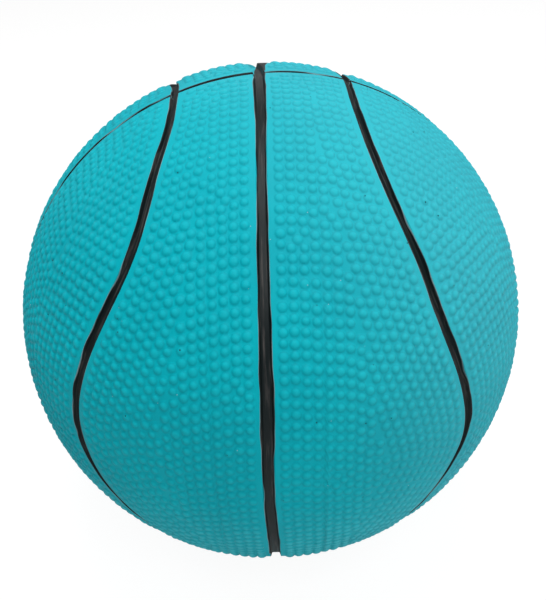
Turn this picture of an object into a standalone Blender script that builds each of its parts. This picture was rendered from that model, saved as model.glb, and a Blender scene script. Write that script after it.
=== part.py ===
"""Latex dog ball: a stuffed, squeaking latex toy moulded and painted like a basketball.

Metres, +Z up. The origin is the centre of the flat rest pad under the ball.
The meridian seam lies in the plane x = 0, the cross seam is turned a little from the plane y = 0,
and one loop seam goes round each of the +X and -X sides.
"""

import math

import bmesh
import bpy
from mathutils import Matrix, Vector

# Ball
BALL_RADIUS = 0.075
BASE_THICKNESS = 0.0045
REST_RIM_WIDTH = 0.0037

# Moulded grooves and the paint in them
GROOVE_WIDTH = 0.0032
GROOVE_DEPTH = 0.0018
LATEX_UNDER_GROOVE = 0.0014
GROOVE_END_MARGIN = 0.0035
PAINT_RECESS = 0.0009
CROSS_TURN = math.radians(9.15)
LOOP_ANGLE_AT_CROSS = math.radians(18.75)
LEFT_LOOP_ANGLE_MIDWAY = math.radians(24.45)
RIGHT_LOOP_ANGLE_MIDWAY = math.radians(27.55)
LOOP_ANGLE_AT_SIDE = math.radians(42.8)

# Squeaker housing
HOUSING_BORE_RADIUS = 0.0043
TUBE_WALL = 0.0009
TUBE_LENGTH = 0.0100
NECK_WALL = 0.0006
BEAD_OVERHANG = 0.0013
BEAD_HEIGHT = 0.0012
FLANGE_WIDTH = 0.0031
FLANGE_THICKNESS = 0.0010
FLANGE_RECESS = 0.0003
HOUSING_FLOOR = 0.0020
AIR_HOLE_RADIUS = 0.0013

# Squeaker cap
CAP_TOP_THICKNESS = 0.0010
CAP_SKIRT_THICKNESS = 0.0008
CAP_SKIRT_LENGTH = 0.0035
CAP_HOLE_RADIUS = 0.0007
CAP_HOLE_CIRCLE_RADIUS = 0.0026
CAP_HOLE_COUNT = 6

# Reed, pipe and wedge
PIPE_PLUG_LENGTH = 0.0028
PIPE_HEADROOM = 0.0027
PIPE_FLAT_OFFSET = 0.0004
CHANNEL_WIDTH = 0.0024
CHANNEL_DEPTH = 0.0020
CHANNEL_END_WALL = 0.0012
REED_THICKNESS = 0.00025
REED_SIDE_LAP = 0.0006
REED_END_LAP = 0.0005
REED_CURL = 0.0003
WEDGE_LENGTH = 0.0024

# Clearance between touching pieces, and between the stuffing and what it meets
GAP = 0.0003
STUFFING_GAP = 0.0005

# Facets
BALL_SEGMENTS = 48
CAVITY_SEGMENTS = 32
SEAM_STEP = 0.0085
SEAM_SIDES_RESOLUTION = 2
TURNED_STEPS = 24
HOLE_SEGMENTS = 10
REED_STEPS = 8
CUT_OVERSHOOT = 0.0010
WELD_DISTANCE = 0.000002
SHARP_ANGLE = math.radians(35)

# Squeaker housing, worked out from the driving sizes
TUBE_RADIUS = HOUSING_BORE_RADIUS + TUBE_WALL
NECK_RADIUS = HOUSING_BORE_RADIUS + NECK_WALL
BEAD_RADIUS = NECK_RADIUS + BEAD_OVERHANG
FLANGE_RADIUS = NECK_RADIUS + FLANGE_WIDTH
FLANGE_TOP_Z = FLANGE_RECESS + FLANGE_THICKNESS
FLANGE_SEAT_RADIUS = FLANGE_RADIUS + GAP
FLANGE_SEAT_Z = FLANGE_TOP_Z + GAP
BEAD_Z = BASE_THICKNESS + GAP
TUBE_Z = BEAD_Z + BEAD_HEIGHT
TUBE_TOP_Z = TUBE_Z + TUBE_LENGTH
BORE_FLOOR_Z = FLANGE_RECESS + HOUSING_FLOOR

# Squeaker cap, pipe, reed and wedge
CAP_CEILING_Z = TUBE_TOP_Z + GAP
CAP_TOP_Z = CAP_CEILING_Z + CAP_TOP_THICKNESS
CAP_BORE_RADIUS = TUBE_RADIUS + GAP
CAP_RADIUS = CAP_BORE_RADIUS + CAP_SKIRT_THICKNESS
PIPE_RADIUS = HOUSING_BORE_RADIUS - GAP
PIPE_Z = BORE_FLOOR_Z + GAP
PIPE_STEP_Z = PIPE_Z + PIPE_PLUG_LENGTH
PIPE_TOP_Z = TUBE_TOP_Z - PIPE_HEADROOM
CHANNEL_TOP_Z = PIPE_TOP_Z - CHANNEL_END_WALL
REED_WIDTH = CHANNEL_WIDTH + 2 * REED_SIDE_LAP
REED_FACE_Y = -PIPE_FLAT_OFFSET - GAP
REED_BACK_Y = REED_FACE_Y - REED_THICKNESS
REED_HINGE_Y = (REED_FACE_Y + REED_BACK_Y) / 2
REED_ROOT_Z = PIPE_STEP_Z + GAP
REED_TIP_Z = CHANNEL_TOP_Z + REED_END_LAP
WEDGE_FACE_Y = REED_BACK_Y - GAP
WEDGE_TOP_Z = REED_ROOT_Z + WEDGE_LENGTH

# Ball, grooves and paint
REST_PAD_RADIUS = FLANGE_SEAT_RADIUS + REST_RIM_WIDTH
BALL_CENTRE_Z = math.sqrt(BALL_RADIUS**2 - REST_PAD_RADIUS**2)
CAVITY_RADIUS = BALL_RADIUS - GROOVE_DEPTH - LATEX_UNDER_GROOVE
GROOVE_TUBE_RADIUS = (GROOVE_WIDTH**2 / 4 + GROOVE_DEPTH**2) / (2 * GROOVE_DEPTH)
SEAM_RADIUS = BALL_RADIUS - GROOVE_DEPTH + GROOVE_TUBE_RADIUS
SEAM_END_ANGLE = math.pi - math.asin((REST_PAD_RADIUS + GROOVE_END_MARGIN) / BALL_RADIUS)
PAINT_TUBE_RADIUS = GROOVE_TUBE_RADIUS - GAP
PAINT_TOP_RADIUS = BALL_RADIUS - PAINT_RECESS
PAINT_HALF_WIDTH = math.sqrt(PAINT_TUBE_RADIUS**2 - (SEAM_RADIUS - PAINT_TOP_RADIUS) ** 2)


def clear_scene():
    for old in list(bpy.data.objects):
        bpy.data.objects.remove(old)


def new_collection(name):
    group = bpy.data.collections.new(name)
    bpy.context.scene.collection.children.link(group)
    return group


clear_scene()
BALL = new_collection("latex_dog_ball")
CUTTERS = new_collection("cutters")


def finish(name, colour, roughness, metallic=0.0):
    """A Principled material with one colour."""
    made = bpy.data.materials.new(name)
    made.use_nodes = True
    shader = made.node_tree.nodes["Principled BSDF"]
    shader.inputs["Base Color"].default_value = (*colour, 1.0)
    shader.inputs["Roughness"].default_value = roughness
    shader.inputs["Metallic"].default_value = metallic
    return made


def mesh_from(name, shape):
    """The bmesh as mesh data, facing out and smooth where it is round."""
    bmesh.ops.recalc_face_normals(shape, faces=shape.faces)
    data = bpy.data.meshes.new(name)
    shape.to_mesh(data)
    shape.free()
    data.shade_smooth()
    data.set_sharp_from_angle(angle=SHARP_ANGLE)
    return data


def piece(name, data, material):
    made = bpy.data.objects.new(name, data)
    made.data.materials.append(material)
    BALL.objects.link(made)
    return made


def cutter(name, data):
    made = bpy.data.objects.new(name, data)
    made.hide_render = True
    made.display_type = "WIRE"
    CUTTERS.objects.link(made)
    return made


def boolean(target, other, operation="DIFFERENCE"):
    modifier = target.modifiers.new(f"{operation.lower()}_{other.name}", "BOOLEAN")
    modifier.operation = operation
    modifier.solver = "EXACT"
    modifier.object = other


def sphere_shape(radius, segments):
    """A sphere about the ball's centre, with its poles on the crossings of the two great circles."""
    shape = bmesh.new()
    bmesh.ops.create_uvsphere(
        shape,
        u_segments=segments,
        v_segments=segments // 2,
        radius=radius,
        matrix=Matrix.Translation((0, 0, BALL_CENTRE_Z)),
    )
    return shape


def flat_bottomed(shape, level):
    """Cuts away what lies below this level and closes the cut with a flat face."""
    everything = shape.verts[:] + shape.edges[:] + shape.faces[:]
    cut = bmesh.ops.bisect_plane(
        shape,
        geom=everything,
        plane_co=(0, 0, level),
        plane_no=(0, 0, 1),
        clear_inner=True,
    )
    rim = [item for item in cut["geom_cut"] if isinstance(item, bmesh.types.BMEdge)]
    bmesh.ops.contextual_create(shape, geom=rim)
    return shape


def cylinder_shape(radius, low, high, x=0.0, y=0.0, segments=TURNED_STEPS):
    shape = bmesh.new()
    bmesh.ops.create_cone(
        shape,
        cap_ends=True,
        segments=segments,
        radius1=radius,
        radius2=radius,
        depth=high - low,
        matrix=Matrix.Translation((x, y, (low + high) / 2)),
    )
    return shape


def box_shape(low, high):
    low = Vector(low)
    high = Vector(high)
    shape = bmesh.new()
    bmesh.ops.create_cube(shape, size=1.0)
    bmesh.ops.scale(shape, vec=high - low, verts=shape.verts)
    bmesh.ops.translate(shape, vec=(low + high) / 2, verts=shape.verts)
    return shape


def turned(name, profile, material):
    """Turns (radius, height) points about the squeaker's axis; the outer side runs top to bottom."""
    data = bpy.data.meshes.new(name)
    count = len(profile)
    outline = bmesh.new()
    corners = [outline.verts.new((radius, 0, height)) for radius, height in profile]
    for index in range(count):
        outline.edges.new((corners[index], corners[(index + 1) % count]))
    outline.to_mesh(data)
    outline.free()
    made = piece(name, data, material)
    screw = made.modifiers.new("turn", "SCREW")
    screw.axis = "Z"
    screw.steps = TURNED_STEPS
    screw.render_steps = TURNED_STEPS
    screw.use_merge_vertices = True
    screw.merge_threshold = WELD_DISTANCE
    screw.use_smooth_shade = True
    return made


def meridian_direction(angle):
    """Unit vector on the meridian seam, at this angle from the top towards the front."""
    return Vector((0, -math.sin(angle), math.cos(angle)))


def cross_direction(angle):
    """Unit vector on the cross seam, at this angle from the top towards its right end."""
    across = math.sin(angle)
    return Vector((across * math.cos(CROSS_TURN), across * math.sin(CROSS_TURN), math.cos(angle)))


def loop_direction(angle, side, midway):
    """Unit vector on a loop seam; angle goes round the X axis from the top, and side is +1 or -1."""
    sway = (LOOP_ANGLE_AT_SIDE - LOOP_ANGLE_AT_CROSS) / 2
    bow = midway - (LOOP_ANGLE_AT_CROSS + LOOP_ANGLE_AT_SIDE) / 2
    spread = LOOP_ANGLE_AT_CROSS + sway * (1 - math.cos(2 * angle)) + bow * (1 - math.cos(4 * angle)) / 2
    around = math.cos(spread)
    return Vector((side * math.sin(spread), -around * math.sin(angle), around * math.cos(angle)))


def seam_points(direction, start, end, closed=False):
    """Points along a seam, on the centre line of its groove's tube, about one seam step apart."""
    count = max(2, math.ceil(abs(end - start) * BALL_RADIUS / SEAM_STEP))
    total = count if closed else count + 1
    centre = Vector((0, 0, BALL_CENTRE_Z))
    return [centre + SEAM_RADIUS * direction(start + (end - start) * i / count) for i in range(total)]


def seam_tube(name, points, radius, closed=False):
    """A round tube along a seam, as mesh data."""
    path = bpy.data.curves.new(name, "CURVE")
    path.dimensions = "3D"
    path.bevel_depth = radius
    path.bevel_resolution = SEAM_SIDES_RESOLUTION
    path.use_fill_caps = not closed
    line = path.splines.new("POLY")
    line.points.add(len(points) - 1)
    for target, point in zip(line.points, points):
        target.co = (*point, 1.0)
    line.use_cyclic_u = closed
    guide = bpy.data.objects.new(name, path)
    CUTTERS.objects.link(guide)
    evaluated = guide.evaluated_get(bpy.context.evaluated_depsgraph_get())
    data = bpy.data.meshes.new_from_object(evaluated)
    bpy.data.objects.remove(guide)
    shape = bmesh.new()
    shape.from_mesh(data)
    bmesh.ops.remove_doubles(shape, verts=shape.verts, dist=WELD_DISTANCE)
    return mesh_from(name, shape)


def left_loop(angle):
    return loop_direction(angle, -1, LEFT_LOOP_ANGLE_MIDWAY)


def right_loop(angle):
    return loop_direction(angle, 1, RIGHT_LOOP_ANGLE_MIDWAY)


def groove_cutters():
    """A tube along each seam. The great circles stop short of the rest pad, and the loops are closed."""
    seams = (
        ("meridian_groove", meridian_direction, SEAM_END_ANGLE, False),
        ("cross_groove", cross_direction, SEAM_END_ANGLE, False),
        ("left_loop_groove", left_loop, math.pi, True),
        ("right_loop_groove", right_loop, math.pi, True),
    )
    for name, direction, end, closed in seams:
        points = seam_points(direction, -end, end, closed)
        yield cutter(name, seam_tube(name, points, GROOVE_TUBE_RADIUS, closed))


def latex_skin():
    """The one-piece moulding: a hollow ball with a thick flat base, a squeaker hole and the grooves."""
    latex = finish("turquoise_latex", (0.010, 0.40, 0.46), 0.55)
    outside = flat_bottomed(sphere_shape(BALL_RADIUS, BALL_SEGMENTS), 0.0)
    skin = piece("latex_skin", mesh_from("latex_skin", outside), latex)
    cavity = flat_bottomed(sphere_shape(CAVITY_RADIUS, CAVITY_SEGMENTS), BASE_THICKNESS)
    boolean(skin, cutter("cavity", mesh_from("cavity", cavity)))
    hole = cylinder_shape(NECK_RADIUS + GAP, -CUT_OVERSHOOT, BASE_THICKNESS + CUT_OVERSHOOT)
    boolean(skin, cutter("squeaker_hole", mesh_from("squeaker_hole", hole)))
    seat = cylinder_shape(FLANGE_SEAT_RADIUS, -CUT_OVERSHOOT, FLANGE_SEAT_Z)
    boolean(skin, cutter("flange_seat", mesh_from("flange_seat", seat)))
    for groove in groove_cutters():
        boolean(skin, groove)


def cross_strokes(stop, end):
    """The cross seam's strokes as (place, start, end): each runs between two of the lines that it meets."""
    crossing = math.asin(math.sin(LOOP_ANGLE_AT_CROSS) / math.cos(CROSS_TURN))
    near = crossing - stop
    far = crossing + stop
    yield "top_right", stop, near
    yield "right", far, math.pi - far
    yield "base_right", math.pi - near, end
    yield "top_left", -near, -stop
    yield "left", far - math.pi, -far
    yield "base_left", -end, near - math.pi


def seam_paint():
    """Black paint in the bottom of every groove. The cross strokes stop at the lines that they meet."""
    black = finish("black_paint", (0.012, 0.012, 0.013), 0.40)
    level = sphere_shape(PAINT_TOP_RADIUS, BALL_SEGMENTS)
    surface = cutter("paint_surface", mesh_from("paint_surface", level))
    slant = (1 + abs(math.sin(CROSS_TURN))) / math.cos(CROSS_TURN)
    stop = (PAINT_HALF_WIDTH * slant + GAP) / BALL_RADIUS
    end = SEAM_END_ANGLE - GAP / BALL_RADIUS
    strokes = [
        ("meridian", meridian_direction, -end, end, False),
        ("loop_left", left_loop, -math.pi, math.pi, True),
        ("loop_right", right_loop, -math.pi, math.pi, True),
    ]
    for place, first, last in cross_strokes(stop, end):
        strokes.append((f"cross_{place}", cross_direction, first, last, False))
    for place, direction, first, last, closed in strokes:
        name = f"paint_{place}"
        points = seam_points(direction, first, last, closed)
        stroke = piece(name, seam_tube(name, points, PAINT_TUBE_RADIUS, closed), black)
        boolean(stroke, surface, "INTERSECT")


def fibre_filling():
    """Polyester stuffing: it fills the cavity, with a pocket round the squeaker."""
    fibre = finish("white_fibre", (0.80, 0.80, 0.78), 0.95)
    floor = BASE_THICKNESS + STUFFING_GAP
    body = flat_bottomed(sphere_shape(CAVITY_RADIUS - STUFFING_GAP, CAVITY_SEGMENTS), floor)
    filling = piece("fibre_filling", mesh_from("fibre_filling", body), fibre)
    widest = max(CAP_RADIUS, BEAD_RADIUS)
    pocket = cylinder_shape(widest + STUFFING_GAP, floor - CUT_OVERSHOOT, CAP_TOP_Z + STUFFING_GAP)
    boolean(filling, cutter("squeaker_pocket", mesh_from("squeaker_pocket", pocket)))


def squeaker_housing(plastic):
    """Flanged tube: the latex lip sits in the neck between the flange and the barbed bead."""
    profile = (
        (TUBE_RADIUS, TUBE_TOP_Z),
        (TUBE_RADIUS, TUBE_Z),
        (BEAD_RADIUS, BEAD_Z + BEAD_HEIGHT / 2),
        (BEAD_RADIUS, BEAD_Z),
        (NECK_RADIUS, BEAD_Z),
        (NECK_RADIUS, FLANGE_TOP_Z),
        (FLANGE_RADIUS, FLANGE_TOP_Z),
        (FLANGE_RADIUS, FLANGE_RECESS + FLANGE_THICKNESS / 2),
        (FLANGE_RADIUS - FLANGE_THICKNESS / 2, FLANGE_RECESS),
        (AIR_HOLE_RADIUS, FLANGE_RECESS),
        (AIR_HOLE_RADIUS, BORE_FLOOR_Z),
        (HOUSING_BORE_RADIUS, BORE_FLOOR_Z),
        (HOUSING_BORE_RADIUS, TUBE_TOP_Z),
    )
    turned("squeaker_housing", profile, plastic)


def squeaker_cap(plastic):
    """Cap over the end of the housing, with a ring of air holes and one in the middle."""
    low = TUBE_TOP_Z - CAP_SKIRT_LENGTH
    outside = cylinder_shape(CAP_RADIUS, low, CAP_TOP_Z)
    cap = piece("squeaker_cap", mesh_from("squeaker_cap", outside), plastic)
    inside = cylinder_shape(CAP_BORE_RADIUS, low - CUT_OVERSHOOT, CAP_CEILING_Z)
    boolean(cap, cutter("cap_bore", mesh_from("cap_bore", inside)))
    places = [(0.0, 0.0)]
    for index in range(CAP_HOLE_COUNT):
        turn = 2 * math.pi * index / CAP_HOLE_COUNT
        places.append((CAP_HOLE_CIRCLE_RADIUS * math.cos(turn), CAP_HOLE_CIRCLE_RADIUS * math.sin(turn)))
    for index, (x, y) in enumerate(places):
        name = f"cap_hole_{index}"
        low_end = CAP_CEILING_Z - CUT_OVERSHOOT
        hole = cylinder_shape(CAP_HOLE_RADIUS, low_end, CAP_TOP_Z + CUT_OVERSHOOT, x, y, HOLE_SEGMENTS)
        boolean(cap, cutter(name, mesh_from(name, hole)))


def reed_pipe(plastic):
    """Round plug with a half-round pipe on it; a channel in the flat face runs out through the plug."""
    bar = cylinder_shape(PIPE_RADIUS, PIPE_Z, PIPE_TOP_Z)
    pipe = piece("reed_pipe", mesh_from("reed_pipe", bar), plastic)
    reach = PIPE_RADIUS + CUT_OVERSHOOT
    flat = box_shape(
        (-reach, -reach, PIPE_STEP_Z),
        (reach, -PIPE_FLAT_OFFSET, PIPE_TOP_Z + CUT_OVERSHOOT),
    )
    boolean(pipe, cutter("pipe_flat", mesh_from("pipe_flat", flat)))
    channel = box_shape(
        (-CHANNEL_WIDTH / 2, -PIPE_FLAT_OFFSET - CUT_OVERSHOOT, PIPE_Z - CUT_OVERSHOOT),
        (CHANNEL_WIDTH / 2, CHANNEL_DEPTH - PIPE_FLAT_OFFSET, CHANNEL_TOP_Z),
    )
    boolean(pipe, cutter("pipe_channel", mesh_from("pipe_channel", channel)))


def squeaker_reed():
    """Thin tongue, clamped at its root and curling off the pipe; its parent lies where it flexes."""
    film = finish("reed_film", (0.75, 0.74, 0.66), 0.30)
    hinge = bpy.data.objects.new("reed_flex", None)
    hinge.location = (0, REED_HINGE_Y, WEDGE_TOP_Z)
    BALL.objects.link(hinge)
    shape = box_shape(
        (-REED_WIDTH / 2, REED_BACK_Y, REED_ROOT_Z),
        (REED_WIDTH / 2, REED_FACE_Y, REED_TIP_Z),
    )
    tall = [edge for edge in shape.edges if edge.verts[0].co.z != edge.verts[1].co.z]
    bmesh.ops.subdivide_edges(shape, edges=tall, cuts=REED_STEPS - 1, use_grid_fill=True)
    for corner in shape.verts:
        along = max(0.0, corner.co.z - WEDGE_TOP_Z) / (REED_TIP_Z - WEDGE_TOP_Z)
        corner.co.y -= REED_CURL * along**2
    bmesh.ops.translate(shape, vec=-hinge.location, verts=shape.verts)
    reed = piece("squeaker_reed", mesh_from("squeaker_reed", shape), film)
    reed.parent = hinge


def reed_wedge(plastic):
    """Segment of a round bar that presses the root of the reed towards the pipe."""
    bar = cylinder_shape(PIPE_RADIUS, REED_ROOT_Z, WEDGE_TOP_Z)
    wedge = piece("reed_wedge", mesh_from("reed_wedge", bar), plastic)
    reach = PIPE_RADIUS + CUT_OVERSHOOT
    away = box_shape(
        (-reach, WEDGE_FACE_Y, REED_ROOT_Z - CUT_OVERSHOOT),
        (reach, reach, WEDGE_TOP_Z + CUT_OVERSHOOT),
    )
    boolean(wedge, cutter("wedge_face", mesh_from("wedge_face", away)))


def squeaker():
    white = finish("white_plastic", (0.78, 0.78, 0.76), 0.40)
    squeaker_housing(white)
    squeaker_cap(finish("cap_plastic", (0.72, 0.72, 0.70), 0.40))
    reed_pipe(finish("pipe_plastic", (0.60, 0.62, 0.63), 0.35))
    squeaker_reed()
    reed_wedge(finish("wedge_plastic", (0.55, 0.56, 0.57), 0.40))


latex_skin()
seam_paint()
fibre_filling()
squeaker()
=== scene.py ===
# %% [markdown]
# # A pebbled latex ball for a dog
# The ball is a hollow skin of moulded latex with small round pebbles and black paint in its grooves.
# Inside are a wad of fibre and a plastic squeaker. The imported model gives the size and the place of
# every piece, and this file gives each of them its surface.

# %% Load the frame
import math

import bmesh
import bpy
import numpy as np
from mathutils import Matrix, Vector, kdtree


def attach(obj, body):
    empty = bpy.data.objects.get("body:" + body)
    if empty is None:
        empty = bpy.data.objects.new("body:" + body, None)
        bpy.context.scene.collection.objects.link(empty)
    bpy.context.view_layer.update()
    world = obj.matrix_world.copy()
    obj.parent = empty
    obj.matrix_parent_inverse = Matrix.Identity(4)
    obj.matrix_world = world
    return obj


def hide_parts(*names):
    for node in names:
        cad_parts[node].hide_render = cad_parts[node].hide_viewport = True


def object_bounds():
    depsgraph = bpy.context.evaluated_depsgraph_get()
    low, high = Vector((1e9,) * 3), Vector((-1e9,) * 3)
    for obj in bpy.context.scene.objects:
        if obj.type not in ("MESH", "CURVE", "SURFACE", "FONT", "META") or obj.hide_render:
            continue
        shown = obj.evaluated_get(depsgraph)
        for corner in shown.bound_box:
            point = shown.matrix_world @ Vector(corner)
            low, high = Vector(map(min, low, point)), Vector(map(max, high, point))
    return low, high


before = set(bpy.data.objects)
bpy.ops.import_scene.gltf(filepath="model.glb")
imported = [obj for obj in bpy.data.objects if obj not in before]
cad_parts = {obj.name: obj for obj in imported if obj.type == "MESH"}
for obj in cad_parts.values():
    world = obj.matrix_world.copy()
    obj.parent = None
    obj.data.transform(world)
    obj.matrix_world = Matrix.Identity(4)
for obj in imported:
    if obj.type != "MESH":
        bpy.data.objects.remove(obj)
cad_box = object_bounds()
MM = 0.001
cad_size = [round(length / MM, 1) for length in cad_box[1] - cad_box[0]]
print("frame nodes:", len(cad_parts), "box in mm:", cad_size)

# %% [markdown]
# ## Where things are on a ball
# Every point of the skin is a direction from the ball's centre and a distance along it. Of a
# direction's two angles, `turn` goes from the top over the front and round, and `side` rises from
# the front groove to the right. A globe's angles would crowd at the top, where grooves cross.

# %% Ball and directions
RADIUS = 75.0 * MM
REST_RING_RADIUS = 12.0 * MM
CENTRE = np.array([0.0, 0.0, math.sqrt(RADIUS**2 - REST_RING_RADIUS**2)])


def direction(turn, side):
    """Unit vectors from the ball's centre."""
    across = np.cos(side)
    return np.stack([np.sin(side) + 0 * turn, -across * np.sin(turn), across * np.cos(turn)], axis=-1)


def angles_of(ways):
    """The side and the turn of each direction."""
    return np.arcsin(np.clip(ways[..., 0], -1, 1)), np.arctan2(-ways[..., 1], ways[..., 2])


print("ball centre height in mm:", round(CENTRE[2] / MM, 2))

# %% [markdown]
# ## The lines of the grooves
# The mould has two great circles and two loops, as a basketball has, but not quite true: the cross
# groove is turned, the right loop is wider, and the lines have kinks. Just behind the cross groove
# they step to the left, while the brush on the front groove ran straight on. Drawn curves could hold
# this, but a formula gives a groove's place at any angle.

# %% Groove lines
CROSS_TURN = math.radians(9.15)
CROSS_SPIN = np.array(Matrix.Rotation(CROSS_TURN, 3, "Z"))
# A loop's side angle at the cross groove, midway and at the side of the ball
LEFT_LOOP = np.radians((18.4, 24.1, 42.5))
RIGHT_LOOP = np.radians((18.8, 27.5, 42.8))
# Each kink is the turn in degrees where it lies, and how many millimetres it goes to the right
FRONT_KINKS = ((0, -0.6), (96, -0.5))
LEFT_KINKS = ((16, 0.5), (32, -1.4), (48, 0.4), (64, -0.7), (96, 0.3), (112, -1.0))
RIGHT_KINKS = ((8, -0.4), (48, 0.8), (64, -1.2), (80, -0.4), (98, 1.6), (112, 0.4))
KINK_WIDTH = math.radians(12)
MOULD_SLIP = -2.9 * MM
SLIP_PLACE = math.radians(-14)
SLIP_WIDTH = math.radians(9)
SEAM_SAMPLES = 3600
HANDS = (("left", -1), ("right", 1))


def hump(value, place, width):
    """1 at a place, and next to 0 two widths away."""
    return np.exp(-(((value - place) / width) ** 2))


def spun(ways):
    """Directions from a frame that is square to the cross groove."""
    return ways @ CROSS_SPIN.T


def stray(kinks, turn, slips=True):
    """The angle by which a groove lies to the right of its true line."""
    turn = (np.asarray(turn) + math.pi) % (2 * math.pi) - math.pi
    way = MOULD_SLIP * hump(turn, SLIP_PLACE, SLIP_WIDTH) * slips
    for place, size in kinks:
        way = way + size * MM * hump(turn, math.radians(place), KINK_WIDTH)
    return way / RADIUS


def loop_angle(turn, hand):
    """Side angle of a loop groove at each turn; hand is -1 on the left and 1 on the right."""
    right = np.asarray(hand) > 0
    at_cross, midway, at_side = (np.where(right, *pair) for pair in zip(RIGHT_LOOP, LEFT_LOOP))
    swing = (at_side - at_cross) * (1 - np.cos(2 * turn)) / 2
    waist = (midway - (at_cross + at_side) / 2) * (1 - np.cos(4 * turn)) / 2
    kinks = np.where(right, stray(RIGHT_KINKS, turn), -stray(LEFT_KINKS, turn))
    return at_cross + swing + waist + kinks


def on_front(turn):
    """Directions along the front groove."""
    return direction(turn, stray(FRONT_KINKS, turn))


def under_brush(turn):
    """Directions along its paint, without the slip."""
    return direction(turn, stray(FRONT_KINKS, turn, slips=False))


def on_loop(hand):
    """A function for directions along a loop."""
    return lambda turn: direction(turn, hand * loop_angle(turn, hand))


def on_cross(angle):
    """Directions along the cross groove, from the top to the right."""
    return spun(np.stack([np.sin(angle), 0 * angle, np.cos(angle)], axis=-1))


around = np.linspace(0, 2 * math.pi, SEAM_SAMPLES, endpoint=False)
seams = [line(around) for line in (on_front, on_cross, on_loop(-1), on_loop(1))]
widest = math.degrees(loop_angle(math.pi / 2, 1))
print("groove lines:", len(seams), "right loop at the side in degrees:", round(widest, 2))

# %% [markdown]
# ## The depth of the grooves
# Each groove is a flat channel with steep sides and rounded lips. Channels cut with booleans would
# have ragged lips where they cross. Here a function gives the depth in any direction, and
# multiplying what is left of each wall joins two grooves without an edge.

# %% Groove depth
GROOVE_DEPTH = 1.2 * MM
FLOOR_SHARE = 0.62
FRONT_LIP = 1.68 * MM
PINCH = 0.26 * MM
PINCH_PLACE = math.radians(38)
PINCH_WIDTH = math.radians(20)
CROSS_LIP = 1.05 * MM
LOOP_LIP_AT_CROSS = 1.25 * MM
LOOP_LIP_AT_SIDE = 1.62 * MM
LOOP_LIP_BELOW = 0.92 * MM
LOOP_NARROWING = 40
GROOVE_END_AXIS = 15.5 * MM
GROOVE_END_FADE = 1.5 * MM
SLOPE_STEP = 1e-4


def smooth_step(value, low, high):
    """0 below low and 1 above high, with a rounded way between."""
    t = np.clip((value - low) / (high - low), 0, 1)
    return t**3 * (t * (6 * t - 15) + 10)


def axis_distance(ways):
    """Distance from the upright axis on the lower skin; the upper half counts as far."""
    reach = RADIUS * np.hypot(ways[:, 0], ways[:, 1])
    return np.where(ways[:, 2] < 0, reach, RADIUS)


def front_lip(turn):
    """Half the width of the front groove."""
    return FRONT_LIP - PINCH * hump(turn, PINCH_PLACE, PINCH_WIDTH)


def loop_lip(turn):
    """Half the width of a loop groove."""
    above = LOOP_LIP_AT_CROSS + (LOOP_LIP_AT_SIDE - LOOP_LIP_AT_CROSS) * np.sin(turn) ** 2
    below = LOOP_LIP_BELOW + (LOOP_LIP_AT_SIDE - LOOP_LIP_BELOW) * np.sin(turn) ** LOOP_NARROWING
    return np.where(np.cos(turn) > 0, above, below)


def cross_lip(angle):
    return CROSS_LIP + 0 * angle


def slant(angle_at, turn, hand):
    """How much longer the way to a slanting groove is along the side angle than straight across."""
    rise = angle_at(turn + SLOPE_STEP, hand) - angle_at(turn - SLOPE_STEP, hand)
    return np.hypot(1, rise / (2 * SLOPE_STEP) / np.cos(angle_at(turn, hand)))


def wall_share(distance, lip):
    """0 on the floor of a groove and 1 beyond its lip."""
    return smooth_step(distance, FLOOR_SHARE * lip, lip)


def groove_depth(ways, inset=0.0):
    """Depth of the grooves in each direction; an inset narrows them on each side."""
    side, turn = angles_of(ways)
    hand = np.sign(side)
    to_front = RADIUS * np.abs(side - stray(FRONT_KINKS, turn))
    to_cross = RADIUS * np.abs(np.arcsin(np.clip(ways @ CROSS_SPIN[:, 1], -1, 1)))
    beside_loop = RADIUS * np.abs(np.abs(side) - loop_angle(turn, hand))
    to_loop = beside_loop / slant(loop_angle, turn, hand)
    ends = smooth_step(axis_distance(ways), GROOVE_END_AXIS - GROOVE_END_FADE, GROOVE_END_AXIS)
    wall = 1 - (1 - wall_share(to_front + inset, front_lip(turn))) * ends
    wall = wall * (1 - (1 - wall_share(to_cross + inset, CROSS_LIP)) * ends)
    wall = wall * wall_share(to_loop + inset, loop_lip(turn))
    return GROOVE_DEPTH * (1 - wall)


depths = groove_depth(np.vstack(seams))
print("depth along the grooves in mm:", round(depths.min() / MM, 2), "to", round(depths.max() / MM, 2))

# %% [markdown]
# ## Rows of pebbles
# The pebbles of the mould stand in rows beside each groove. A texture would leave the outline
# smooth, and a particle system would lose the rows, so their places are worked out: one at every
# pitch, but not where another groove is nearer or where the brush passed.

# %% Rows of pebbles
PEBBLE_PITCH = 2.85 * MM
PITCH_SPREAD = 0.07
FEWEST_IN_ROW = 3
FIRST_ROW = 4.10 * MM
ROW_STEP = 2.62 * MM
ROW_COUNT = 13
ROW_MARGIN = 0.4 * MM
BRUSH_CLEARANCE = 3.1 * MM
SEED = 7
rng = np.random.default_rng(SEED)


def unit(vectors):
    return vectors / np.linalg.norm(vectors, axis=-1, keepdims=True)


def tree_of(points):
    tree = kdtree.KDTree(len(points))
    for index, point in enumerate(points):
        tree.insert(point, index)
    tree.balance()
    return tree


seam_tree = tree_of(np.vstack(seams) * RADIUS)
brush_tree = tree_of(under_brush(around) * RADIUS)


def gaps_to(tree, ways):
    """How far each direction is from the nearest point of a tree."""
    return np.array([tree.find(way * RADIUS)[2] for way in ways])


def clear_of_seams(ways, distance):
    """Which directions are at least a distance from every groove, and clear of the brush."""
    return (gaps_to(seam_tree, ways) > distance) & (gaps_to(brush_tree, ways) > BRUSH_CLEARANCE)


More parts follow.
